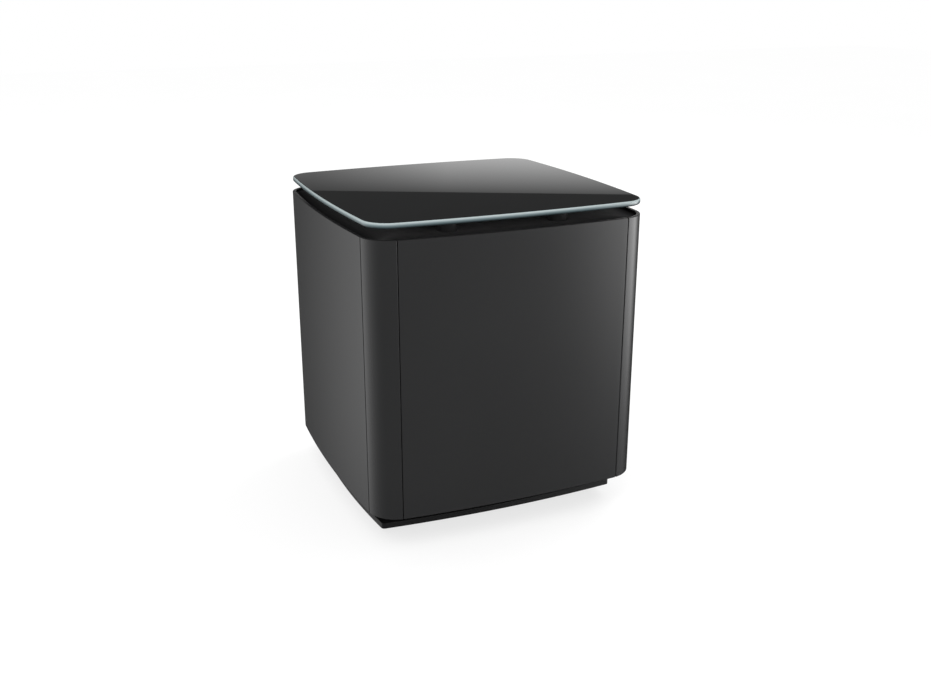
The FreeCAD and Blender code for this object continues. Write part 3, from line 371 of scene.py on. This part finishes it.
class Outline:
    """A footprint with four bowed sides and four round corners."""

    def __init__(self, half_x, half_y, bow, corner):
        self.half = (half_x, half_y)
        self.bow = bow
        self.corner = corner

    def side(self, axis):
        """Radius of the side across an axis, and its centre's distance from the middle."""
        along, out = self.half[1 - axis], self.half[axis]
        radius = (along ** 2 + self.bow ** 2) / (2 * self.bow)
        return radius, radius - out

    def corner_centre(self):
        """Centre of the arc that touches the +X and +Y sides from inside."""
        radius_x, offset_x = self.side(0)
        radius_y, offset_y = self.side(1)
        reach_x, reach_y = radius_x - self.corner, radius_y - self.corner
        end, flank = Vector((0, -offset_y)), Vector((-offset_x, 0))
        apart = flank - end
        along = (reach_y ** 2 - reach_x ** 2 + apart.length_squared) / (2 * apart.length)
        away = math.sqrt(reach_y ** 2 - along ** 2)
        direction = apart.normalized()
        return end + direction * along + Vector((direction.y, -direction.x)) * away

    def local_centre(self, quarter):
        """The corner's centre as seen from a side; odd quarters have X and Y swapped."""
        centre = self.corner_centre()
        return Vector((centre.y, centre.x)) if quarter % 2 else centre

    def side_points(self, quarter, places, inset):
        """Points on one side at the given places along it; quarter 0 faces +X, 1 faces +Y."""
        radius, offset = self.side(quarter % 2)
        reach = radius - inset
        points = []
        for place in places:
            angle = math.asin(place / radius)
            points.append(turned(math.cos(angle) * reach - offset, math.sin(angle) * reach,
                                 quarter))
        return points

    def corner_points(self, quarter, steps, inset, first_place=None):
        """Points on the corner that follows a side, going counter-clockwise.

        A first place beyond the start of the arc trims both its ends evenly.
        """
        local = self.local_centre(quarter)
        start = math.atan2(local.y, local.x + self.side(quarter % 2)[1])
        end = math.pi / 2 - math.atan2(local.x, local.y + self.side(1 - quarter % 2)[1])
        if first_place is not None:
            start = math.asin((first_place - local.y) / self.corner)
            end = math.pi / 2 - start
        reach = self.corner - inset
        points = []
        for step in range(steps + 1):
            angle = start + (end - start) * step / steps
            points.append(turned(local.x + math.cos(angle) * reach,
                                 local.y + math.sin(angle) * reach, quarter))
        return points

    def tangent_place(self, quarter):
        """How far along a side its corner arc begins."""
        local = self.local_centre(quarter)
        radius, offset = self.side(quarter % 2)
        return radius * math.sin(math.atan2(local.y, local.x + offset))

    def loop(self, inset, side_steps, corner_steps):
        """The whole footprint, counter-clockwise."""
        points = []
        for quarter in range(4):
            reach = self.tangent_place(quarter)
            places = [reach * (2 * step / side_steps - 1) for step in range(side_steps)]
            points += self.side_points(quarter, places, inset)
            points += self.corner_points(quarter, corner_steps, inset)[:-1]
        return points


def turned(x, y, quarter):
    """Turn a point by quarter turns about the middle."""
    for _ in range(quarter % 4):
        x, y = -y, x
    return Vector((x, y))


def stack(name, outline, levels, material, **options):
    """A closed plate from loops of an outline; each level is an inset and a height."""
    mesh_data = bmesh.new()
    rings = [[mesh_data.verts.new((*point, height))
              for point in outline.loop(inset, GLASS_SIDE_STEPS, GLASS_CORNER_STEPS)]
             for inset, height in levels]
    for lower, upper in zip(rings, rings[1:]):
        for index in range(len(lower)):
            follower = (index + 1) % len(lower)
            mesh_data.faces.new((lower[index], lower[follower], upper[follower], upper[index]))
    mesh_data.faces.new(list(reversed(rings[0])))
    mesh_data.faces.new(rings[-1])
    weigh_normals(to_object(name, mesh_data, material, **options))


def round_edge(low, high, radius):
    """Levels for a plate whose two rims are rounded."""
    levels = []
    for step in range(GLASS_EDGE_STEPS + 1):
        angle = math.pi / 2 * step / GLASS_EDGE_STEPS
        levels.append((radius * (1 - math.sin(angle)), low + radius * (1 - math.cos(angle))))
    return levels + [(inset, low + high - height) for inset, height in reversed(levels)]


def skin(name, outer, inner, levels, material, hole=None, **options):
    """A thin shell between two matching paths.

    The hole, if any, is given in cells: first column, end column, first row, end row.
    """
    mesh_data = bmesh.new()
    grid = [[[mesh_data.verts.new((*point, height)) for point in path] for height in levels]
            for path in (outer, inner)]
    columns, rows = len(outer) - 1, len(levels) - 1

    def solid(column, row):
        """Whether a cell is there and not in the hole."""
        if not (0 <= column < columns and 0 <= row < rows):
            return False
        return not (hole and hole[0] <= column < hole[1] and hole[2] <= row < hole[3])

    for row in range(rows):
        for column in range(columns):
            if not solid(column, row):
                continue
            corners = [(row, column), (row, column + 1), (row + 1, column + 1), (row + 1, column)]
            for side in grid:
                mesh_data.faces.new([side[r][c] for r, c in corners])
            edges = {(column, row - 1): (0, 1), (column + 1, row): (1, 2),
                     (column, row + 1): (2, 3), (column - 1, row): (3, 0)}
            for neighbour, (first, second) in edges.items():
                if not solid(*neighbour):
                    (r1, c1), (r2, c2) = corners[first], corners[second]
                    mesh_data.faces.new((grid[0][r1][c1], grid[0][r2][c2],
                                         grid[1][r2][c2], grid[1][r1][c1]))
    bmesh.ops.recalc_face_normals(mesh_data, faces=mesh_data.faces)
    soften(mesh_data)
    weigh_normals(to_object(name, mesh_data, material, **options))


# ---------------------------------------------------------------- the cabinet's outside
def build_outside(satin, glass):
    """The four panels, the four corner trims and the glass, in place of their CAD nodes."""
    right_low, right_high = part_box("right_panel")
    low, high = right_low.z, right_high.z
    panel_reach = right_high.y
    cabinet = Outline(right_high.x, right_high.x, CABINET_BOW, CABINET_CORNER)
    corner_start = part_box("corner_rear_right")[0].y
    window_low, window_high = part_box("connector_panel")

    for quarter, name in enumerate(PANELS):
        places = [panel_reach * (2 * step / PANEL_CELLS - 1) for step in range(PANEL_CELLS + 1)]
        levels = [low, high]
        hole = None
        if name == "rear_panel":
            sides = (window_low.x - WINDOW_GAP, window_high.x + WINDOW_GAP)
            kept = [place for place in places if min(abs(place - edge) for edge in sides) > MM]
            places = sorted(kept + list(sides))
            levels = [low, window_low.z - WINDOW_GAP, window_high.z + WINDOW_GAP, high]
            hole = (places.index(sides[0]), places.index(sides[1]), 1, 2)
        outer, inner = (cabinet.side_points(quarter, places, inset) for inset in (0.0, SKIN_THICK))
        skin(f"{name}_skin", outer, inner, levels, satin, hole, replaced=[name], slot="panel")

    for quarter, name in enumerate(TRIMS):
        outer, inner = (cabinet.corner_points(quarter, TRIM_CELLS, inset, corner_start)
                        for inset in (0.0, SKIN_THICK))
        skin(f"{name}_trim", outer, inner, [low, high], satin, replaced=[name], slot="trim")

    glass_low, glass_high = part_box("glass_top")
    plate = Outline(glass_high.x, glass_high.y, GLASS_BOW, GLASS_CORNER)
    stack("glass_plate", plate, round_edge(glass_low.z, glass_high.z, GLASS_EDGE), glass,
          replaced=["glass_top"], slot="glass")


# ---------------------------------------------------------------- woofer parts that flex
def lathe_sector(name, profile, start, end, material):
    """One slice of a turned piece, closed at both ends."""
    mesh_data = bmesh.new()
    rings = []
    for step in range(SLICE_STEPS + 1):
        angle = start + (end - start) * step / SLICE_STEPS
        across, along = math.cos(angle), math.sin(angle)
        rings.append([mesh_data.verts.new((across * radius, along * radius, height))
                      for radius, height in profile])
    for first, second in zip(rings, rings[1:]):
        for index in range(len(profile)):
            follower = (index + 1) % len(profile)
            mesh_data.faces.new((first[index], first[follower], second[follower], second[index]))
    mesh_data.faces.new(rings[0])
    mesh_data.faces.new(list(reversed(rings[-1])))
    return to_object(name, mesh_data, material, body=None)


def flexing_ring(node, profile, material, count):
    """A ring cut in slices, in place of its CAD node."""
    for index in range(count):
        start = 2 * math.pi * index / count
        end = 2 * math.pi * (index + 1) / count
        piece = lathe_sector(f"{node}_slice_{index + 1:02d}", profile, start, end, material)
        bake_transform(piece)
        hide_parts(node)


def build_surround(rubber):
    """The half roll, hanging down between the basket's rim and the cone's edge."""
    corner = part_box("woofer_surround")[1]
    outer, lip = corner.x, corner.z
    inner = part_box("woofer_cone")[1].x - SURROUND_ON_CONE
    centre = outer - SURROUND_LAND - SURROUND_ROLL
    under_lip = lip - SURROUND_THICK
    inner_roll = SURROUND_ROLL - SURROUND_THICK
    angles = [math.pi * step / SURROUND_STEPS for step in range(SURROUND_STEPS + 1)]
    under = [(centre - SURROUND_ROLL * math.cos(angle), under_lip - SURROUND_ROLL * math.sin(angle))
             for angle in angles]
    over = [(centre + inner_roll * math.cos(angle), lip - inner_roll * math.sin(angle))
            for angle in angles]
    profile = [(inner, lip), (inner, under_lip)] + under + [(outer, under_lip), (outer, lip)] + over
    flexing_ring("woofer_surround", profile,
                 rubber, SURROUND_SLICES)


def build_spider(cloth):
    """The corrugated disc between the basket's shelf and the voice coil's former."""
    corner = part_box("woofer_spider")[1]
    outer, level = corner.x, corner.z - SPIDER_DROP
    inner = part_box("voice_coil_former")[1].x
    first, last = inner + SPIDER_COLLAR, outer - SPIDER_RIM
    steps = SPIDER_WAVES * SPIDER_WAVE_STEPS
    under = [(inner, level)]
    for step in range(steps + 1):
        share = step / steps
        swing = math.sin(2 * math.pi * SPIDER_WAVES * share)
        under.append((first + (last - first) * share, level - SPIDER_WAVE_HEIGHT * swing))
    under.append((outer, level))
    over = [(radius, height + SPIDER_THICK) for radius, height in reversed(under)]
    flexing_ring("woofer_spider", under + over,
                 cloth, SPIDER_SLICES)


def build_leads(sleeve):
    """Two leads with one slow loop each, from the terminal to the cone."""
    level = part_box("woofer_surround")[1].z + LEAD_RISE
    for side, name in ((-1, "woofer_lead_left"), (1, "woofer_lead_right")):
        places = [Vector((side * x * MM, y * MM, level + z * MM)) for x, y, z in LEAD_POINTS]
        piece = tube(name, places, LEAD_RADIUS, sleeve)
        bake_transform(piece)
        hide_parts("woofer_leads")


def tube(name, places, radius, material):
    """A round wire through the places, with a smooth run between them."""
    curve = bpy.data.curves.new(name, "CURVE")
    curve.dimensions = "3D"
    spline = curve.splines.new("BEZIER")
    spline.bezier_points.add(len(places) - 1)
    for point, place in zip(spline.bezier_points, places):
        point.co = place
        point.handle_left_type = point.handle_right_type = "AUTO"
    curve.bevel_depth = radius
    curve.bevel_resolution = TUBE_ROUND_STEPS
    curve.resolution_u = TUBE_RUN_STEPS
    curve.use_fill_caps = True
    path = link(name + "_path", curve)
    graph = bpy.context.evaluated_depsgraph_get()
    mesh = bpy.data.meshes.new_from_object(path.evaluated_get(graph))
    bpy.data.objects.remove(path)
    piece = link(name, mesh)
    mesh.materials.clear()
    mesh.materials.append(material)
    smooth(piece, TUBE_SHARP)
    return piece


FINISHES = {
    "adhesive": ("foam_tape", (0.01, 0.01, 0.01), 0.8, dict(depth=0.05, grain=900)),
    "standoff": ("moulded_black", (0.045, 0.045, 0.046), 0.5, dict(specular=0.25)),
    "fibreboard": ("painted_fibreboard", (0.012, 0.0115, 0.011), 0.6,
                   dict(depth=0.08, grain=700, vary=0.35)),
    "foam": ("damping_foam", (0.035, 0.035, 0.038), 0.95,
             dict(depth=0.6, grain=450, vary=0.5, sheen=0.3)),
    "base": ("powder_coat", (0.008, 0.008, 0.0084), 0.42,
             dict(depth=0.05, grain=900, vary=0.25, specular=0.35)),
    "rubber": ("rubber", (0.011, 0.011, 0.011), 0.62,
               dict(depth=0.03, grain=1200, vary=0.3, specular=0.35)),
    "screw_steel": ("black_oxide", (0.05, 0.05, 0.052), 0.32,
                    dict(metal=1.0, depth=0.01, grain=2500)),
    "basket": ("basket_coat", (0.012, 0.012, 0.012), 0.5, dict(depth=0.06, grain=800)),
    "plated_steel": ("zinc_plate", (0.62, 0.61, 0.57), 0.3, dict(metal=1.0, depth=0.01, vary=0.12)),
    "ferrite": ("ferrite", (0.03, 0.03, 0.031), 0.55, dict(depth=0.05, vary=0.3)),
    "cone": ("pulp_cone", (0.014, 0.0138, 0.0135), 0.7,
             dict(depth=0.12, grain=520, vary=0.45, sheen=0.2)),
    "former": ("foil_former", (0.75, 0.75, 0.77), 0.28,
               dict(metal=1.0, depth=0.005, stretch=(1, 1, 30))),
    "black_plastic": ("black_plastic", (0.010, 0.010, 0.0105), 0.4,
                      dict(depth=0.03, grain=1400, vary=0.25)),
    "button": ("button_plastic", (0.022, 0.022, 0.023), 0.3, dict(depth=0.01, grain=1800)),
    "light": ("light_diffuser", (0.55, 0.58, 0.60), 0.25, dict(depth=0.005, vary=0.08, coat=0.5)),
    "socket_metal": ("nickel_plate", (0.55, 0.54, 0.52), 0.28,
                     dict(metal=1.0, depth=0.008, vary=0.12)),
    "aluminium": ("mill_aluminium", (0.72, 0.72, 0.74), 0.34, dict(metal=1.0, stretch=(1, 1, 14))),
    "capacitor": ("sleeved_can", (0.012, 0.014, 0.045), 0.25, dict(depth=0.01, coat=0.3)),
    "transformer": ("ferrite_and_tape", (0.06, 0.045, 0.02), 0.4, dict(depth=0.04, vary=0.5)),
    "cable": ("cable_sleeve", (0.012, 0.012, 0.012), 0.5, dict(grain=1600)),
}


def slot_materials(satin, glass):
    """One material for each of the record's material slots."""
    materials = {slot: finish(name, colour, rough, **options)
                 for slot, (name, colour, rough, options) in FINISHES.items()}
    materials.update({
        "panel": satin,
        "trim": satin,
        "glass": glass,
        "gloss_black": make_deck_material(),
        "copper": make_winding_material(),
        "spider_cloth": make_spider_material(),
        "circuit": make_circuit_material(),
    })
    return materials


def make_winding_material():
    """Enamelled wire, one bright turn beside the next."""
    material, shader = new_material("enamelled_copper")
    turns = shader.wave("Z", 500.0)
    close_surface(shader, {
        "Base Color": shader.blend(shader.noise(60, 3), (0.45, 0.16, 0.05), (0.72, 0.33, 0.14)),
        "Metallic": 1.0,
        "Roughness": shader.span(turns, 0.2, 0.4),
        "Normal": shader.bump(turns, 0.05 * MM),
    })
    return material


def make_spider_material():
    """Resin-stiffened cotton, woven in two directions."""
    material, shader = new_material("resin_cloth")
    threads = shader.math("MULTIPLY", shader.wave("X", 260.0, 0.3), shader.wave("Y", 260.0, 0.3))
    close_surface(shader, {
        "Base Color": shader.blend(threads, (0.22, 0.13, 0.04), (0.42, 0.27, 0.10)),
        "Roughness": shader.span(threads, 0.75, 0.6),
        "Normal": shader.bump(threads, 0.12 * MM),
    })
    return material


def make_circuit_material():
    """Green solder mask with a faint pattern of tracks under it."""
    material, shader = new_material("solder_mask")
    tracks = shader.add("ShaderNodeTexBrick", {
        "Vector": shader.place(), "Scale": 90.0, "Mortar Size": 0.03, "Color1": (0, 0, 0, 1),
        "Color2": (0.2, 0.2, 0.2, 1), "Mortar": (1, 1, 1, 1)}).outputs["Color"]
    close_surface(shader, {
        "Base Color": shader.blend(tracks, (0.006, 0.055, 0.022), (0.02, 0.13, 0.05)),
        "Roughness": shader.span(shader.noise(40, 3), 0.22, 0.38),
        "Normal": shader.bump(tracks, 0.03 * MM),
    })
    return material


def dress_cad_nodes(materials):
    """Give each CAD node its slot's material, and the base plate a worn edge."""
    slots = {row["node"]: row["material_slot"] for row in frame["record"]["subparts"]}
    for name, piece in frame["nodes"].items():
        piece.data.materials.clear()
        piece.data.materials.append(materials[slots[name]])
        smooth(piece, CAD_SHARP)
    edge = frame["nodes"]["base_plate"].modifiers.new("worn_edge", "BEVEL")
    edge.width = BASE_EDGE
    edge.segments = 3
    edge.limit_method = "ANGLE"
    edge.angle_limit = math.radians(BASE_SHARP)


# ---------------------------------------------------------------- stage, light and camera
FLOOR_REACH = 6.0
FLOOR_GLOW = 0.74

# The studio that only reflections see. Azimuth in degrees: 0 is in front of the object, 90 at
# +X, 180 behind it. Heights run from 0 at 30 degrees below the horizon to 1 at 30 above it.
AROUND = (
    (-180, 0.05), (-168, 0.12), (-158, 0.36), (-150, 0.85), (-140, 1.15), (-122, 1.2),
    (-106, 0.85), (-88, 0.48), (-70, 0.22), (-55, 0.15), (8, 0.20), (22, 0.30), (35, 0.42),
    (45, 4.4), (54, 4.8), (86, 4.8), (98, 1.3), (110, 0.2), (150, 0.05), (180, 0.05))
RIGHT_SHARE = ((15, 0.0), (42, 1.0), (150, 1.0), (175, 0.0))
LEFT_FALL = ((0.0, 0.35), (0.05, 0.65), (0.11, 0.95), (0.2, 1.05), (1.0, 1.0))
RIGHT_FALL = ((0.0, 0.02), (0.08, 0.03), (0.14, 0.13), (0.20, 0.46), (0.26, 0.85), (0.34, 1.1),
              (1.0, 1.1))
SKY_RISE = ((0.50, 0.0), (0.56, 1.0))
SKY_GLOW = 0.055

# The card that the glass mirrors: its place behind the object, its sides and its sloping top.
CARD_DEPTH = 1.5
CARD_LEFT, CARD_RIGHT, CARD_FOOT = -0.2, 1.6, 0.42
CARD_SLOPE, CARD_CREST = 0.0884, 0.5892
CARD_DIM, CARD_DIM_UNTIL, CARD_FULL_FROM = 0.33, 0.25, 0.6
CARD_BASE_GLOW, CARD_EDGE_GLOW, CARD_GLOW_RISE = 0.10, 0.11, 8.5

# Softboxes: place, size and power; both look at the object's middle.
SOFTBOXES = {
    "key": ((-1.2, -1.4, 2.4), 1.6, 30),
    "fill": ((1.6, 0.6, 1.6), 1.4, 25),
}
SOFTBOX_TARGET = (0, 0, 0.15)

# The camera, fitted to the photograph.
CAMERA_PLACE = (-0.42769, -1.02119, 0.53168)
CAMERA_TARGET = (0.00064, 0, 0.14134)
CAMERA_SENSOR = 36.0
CAMERA_LENS = 41.514
CAMERA_SHIFT = (0.00749, 0.00496)
CAMERA_ROLL = -0.187


def flat_card(name, corners):
    """A four-sided face that belongs to the stage."""
    mesh_data = bmesh.new()
    mesh_data.faces.new([mesh_data.verts.new(corner) for corner in corners])
    mesh = bpy.data.meshes.new(name)
    mesh_data.to_mesh(mesh)
    mesh_data.free()
    card = link(name, mesh)
    return card


def build_floor():
    """A pale floor that glows, so shadows stay soft, and is clear when seen from below."""
    reach = FLOOR_REACH
    floor = flat_card("floor", [(-reach, -reach, 0), (reach, -reach, 0), (reach, reach, 0),
                                (-reach, reach, 0)])
    material, shader = new_material("pale_floor")
    surface = shader.add("ShaderNodeBsdfPrincipled", {
        "Base Color": shader.blend(shader.noise(3, 2), (0.245, 0.245, 0.245),
                                   (0.255, 0.255, 0.255)),
        "Roughness": 0.9,
        "Specular IOR Level": 0.0,
        "Emission Color": (1, 1, 1, 1),
        "Emission Strength": FLOOR_GLOW,
    })
    from_below = shader.add("ShaderNodeNewGeometry").outputs["Backfacing"]
    clear = shader.add("ShaderNodeMixShader", {"Fac": from_below})
    shader.put(clear.inputs[1], surface.outputs[0])
    shader.put(clear.inputs[2], shader.add("ShaderNodeBsdfTransparent").outputs[0])
    shader.add("ShaderNodeOutputMaterial", {"Surface": clear.outputs[0]})
    floor.data.materials.append(material)
    floor.visible_glossy = False


def build_world():
    """White for the eye and for diffuse light; in reflections, a soft studio.

    The studio is brightest at the right, falls off towards the floor and is dim above the horizon.
    """
    world = bpy.data.worlds.new("studio")
    bpy.context.scene.world = world
    world.use_nodes = True
    shader = Shader(world.node_tree)
    rays = shader.add("ShaderNodeLightPath").outputs
    direction = shader.parts(shader.add("ShaderNodeTexCoord").outputs["Generated"])
    turn = shader.math("ARCTAN2", direction["X"], shader.math("MULTIPLY", direction["Y"], -1.0))
    azimuth = shader.span(turn, 0.0, 1.0, -math.pi, math.pi)
    around, right_share = (
        shader.ramp(azimuth, [((angle + 180) / 360, value) for angle, value in stops])
        for stops in (AROUND, RIGHT_SHARE))
    height = shader.span(direction["Z"], 0.0, 1.0, -0.5, 0.5)
    fall = shader.blend(right_share, shader.ramp(height, LEFT_FALL),
                        shader.ramp(height, RIGHT_FALL), "FLOAT")
    low_studio = shader.math("MULTIPLY", around, fall)
    studio = shader.blend(shader.ramp(height, SKY_RISE), low_studio, SKY_GLOW, "FLOAT")
    indirect = shader.blend(rays["Is Glossy Ray"], 1.0, studio, "FLOAT")
    seen = shader.blend(rays["Is Camera Ray"], indirect, 1.0, "FLOAT")
    background = shader.add("ShaderNodeBackground", {"Color": (1, 1, 1, 1), "Strength": seen})
    shader.add("ShaderNodeOutputWorld", {"Surface": background.outputs[0]})


def add_softboxes():
    """Soft lamps that neither the camera nor a reflection sees."""
    for name, (place, size, power) in SOFTBOXES.items():
        light = bpy.data.lights.new(name, "AREA")
        light.shape = "RECTANGLE"
        light.size = light.size_y = size
        light.energy = power
        lamp = link(name, light)
        lamp.location = place
        aim = Vector(SOFTBOX_TARGET) - Vector(place)
        lamp.rotation_euler = aim.to_track_quat("-Z", "Y").to_euler()
        lamp.visible_glossy = False
        lamp.visible_camera = False


def build_card():
    """A glowing card that only the glass top mirrors: brighter low down and at the right."""
    tops = [CARD_CREST + CARD_SLOPE * x for x in (CARD_LEFT, CARD_RIGHT)]
    card = flat_card("card", [
        (CARD_LEFT, CARD_DEPTH, CARD_FOOT), (CARD_RIGHT, CARD_DEPTH, CARD_FOOT),
        (CARD_RIGHT, CARD_DEPTH, tops[1]), (CARD_LEFT, CARD_DEPTH, tops[0])])
    material, shader = new_material("card_glow")
    place = shader.parts(shader.place())
    edge = shader.math("ADD", shader.math("MULTIPLY", place["X"], CARD_SLOPE), CARD_CREST)
    below = shader.math("SUBTRACT", edge, place["Z"])
    strength = shader.span(place["X"], CARD_DIM, 1.0, CARD_DIM_UNTIL, CARD_FULL_FROM)
    rise = shader.math("ADD", CARD_EDGE_GLOW, shader.math("MULTIPLY", below, CARD_GLOW_RISE))
    glow = shader.math("ADD", CARD_BASE_GLOW, shader.math("MULTIPLY", strength, rise))
    light = shader.add("ShaderNodeEmission", {"Strength": shader.math("MINIMUM", glow, 1.0)})
    shader.add("ShaderNodeOutputMaterial", {"Surface": light.outputs[0]})
    card.data.materials.append(material)
    card.visible_camera = False
    card.visible_diffuse = False
    card.visible_shadow = False


def build_camera():
    """The viewpoint: in front and to the left, looking down on the top."""
    camera = bpy.data.cameras.new("camera")
    camera.sensor_width = CAMERA_SENSOR
    camera.lens = CAMERA_LENS
    camera.shift_x, camera.shift_y = CAMERA_SHIFT
    camera.clip_start, camera.clip_end = 0.01, 50
    holder = link("camera", camera)
    place = Vector(CAMERA_PLACE)
    holder.location = place
    aim = (Vector(CAMERA_TARGET) - place).to_track_quat("-Z", "Y")
    holder.rotation_mode = "QUATERNION"
    holder.rotation_quaternion = aim @ Quaternion((0, 0, 1), math.radians(CAMERA_ROLL))
    bpy.context.scene.camera = holder


satin = make_panel_material()
glass = make_glass_material(*(corner.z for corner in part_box("glass_top")))
materials = slot_materials(satin, glass)
dress_cad_nodes(materials)
build_outside(satin, glass)
build_surround(materials["rubber"])
build_spider(materials["spider_cloth"])
build_leads(materials["cable"])
build_floor()
build_world()
build_card()
add_softboxes()
build_camera()
bpy.context.scene.view_settings.view_transform = "Standard"
